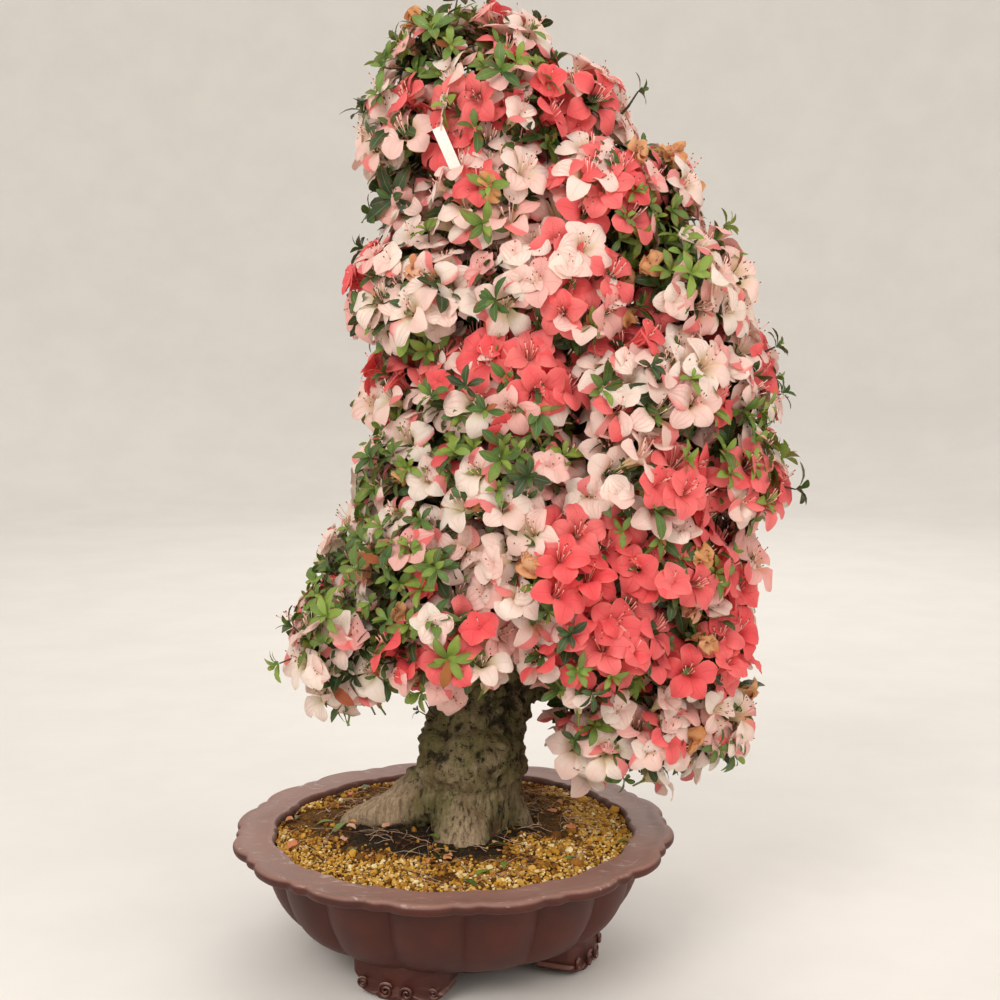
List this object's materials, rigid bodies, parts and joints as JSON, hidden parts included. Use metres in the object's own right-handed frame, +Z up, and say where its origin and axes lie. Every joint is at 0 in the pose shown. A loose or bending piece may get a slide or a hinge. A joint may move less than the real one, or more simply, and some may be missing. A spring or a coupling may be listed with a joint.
{
  "type": "flowering bonsai tree in a pot",
  "caption": "Bonsai tree in full flower, with a thick leaning trunk, surface roots and a tall conical crown, in a round lobed clay pot on cloud-shaped feet.",
  "frame": {"origin": "middle of the bottom of the whole object's box, on the plane of the pot feet's soles", "axes": "+Z up along the plant, +X to the right as seen from the front, the side to which the crown leans, +Y away from the viewer of the front"},
  "size_m": [0.5086, 0.4174, 0.877],
  "materials": {
    "pot_clay": "satin",
    "screen_plastic": "matte",
    "soil_grain": "matte",
    "bark": "matte",
    "pad_white": "matte",
    "pad_coral": "matte",
    "pad_leaf": "matte"
  },
  "bodies": {
    "root": {"drain_screen_1": "screen_plastic", "drain_screen_2": "screen_plastic", "drain_screen_3": "screen_plastic", "pad_1_1": "pad_white", "pad_1_2": "pad_leaf", "pad_2_1": "pad_white", "pad_2_2": "pad_coral", "pad_2_3": "pad_white", "pad_2_4": "pad_white", "pad_3_1": "pad_white", "pad_3_2": "pad_coral", "pad_3_3": "pad_white", "pad_3_4": "pad_coral", "pad_3_5": "pad_white", "pad_3_6": "pad_coral", "pad_4_1": "pad_white", "pad_4_2": "pad_coral", "pad_4_3": "pad_white", "pad_4_4": "pad_white", "pad_4_5": "pad_coral", "pad_4_6": "pad_white", "pad_5_1": "pad_white", "pad_5_2": "pad_coral", "pad_5_3": "pad_white", "pad_5_4": "pad_coral", "pad_5_5": "pad_white", "pad_5_6": "pad_coral", "pad_6_1": "pad_coral", "pad_6_2": "pad_white", "pad_6_3": "pad_white", "pad_6_4": "pad_leaf", "pad_6_5": "pad_coral", "pad_6_6": "pad_white", "pad_6_7": "pad_white", "pad_6_8": "pad_leaf", "pad_7_1": "pad_coral", "pad_7_2": "pad_white", "pad_7_3": "pad_coral", "pad_7_4": "pad_white", "pad_7_5": "pad_coral", "pad_7_6": "pad_white", "pad_7_7": "pad_coral", "pad_7_8": "pad_white", "pad_8_1": "pad_white", "pad_8_2": "pad_coral", "pad_8_3": "pad_white", "pad_8_4": "pad_leaf", "pad_8_5": "pad_white", "pad_8_6": "pad_coral", "pad_8_7": "pad_white", "pad_8_8": "pad_leaf", "pad_9_1": "pad_white", "pad_9_2": "pad_coral", "pad_9_3": "pad_white", "pot": "pot_clay", "soil": "soil_grain", "trunk": "bark"}
  },
  "joints": []
}
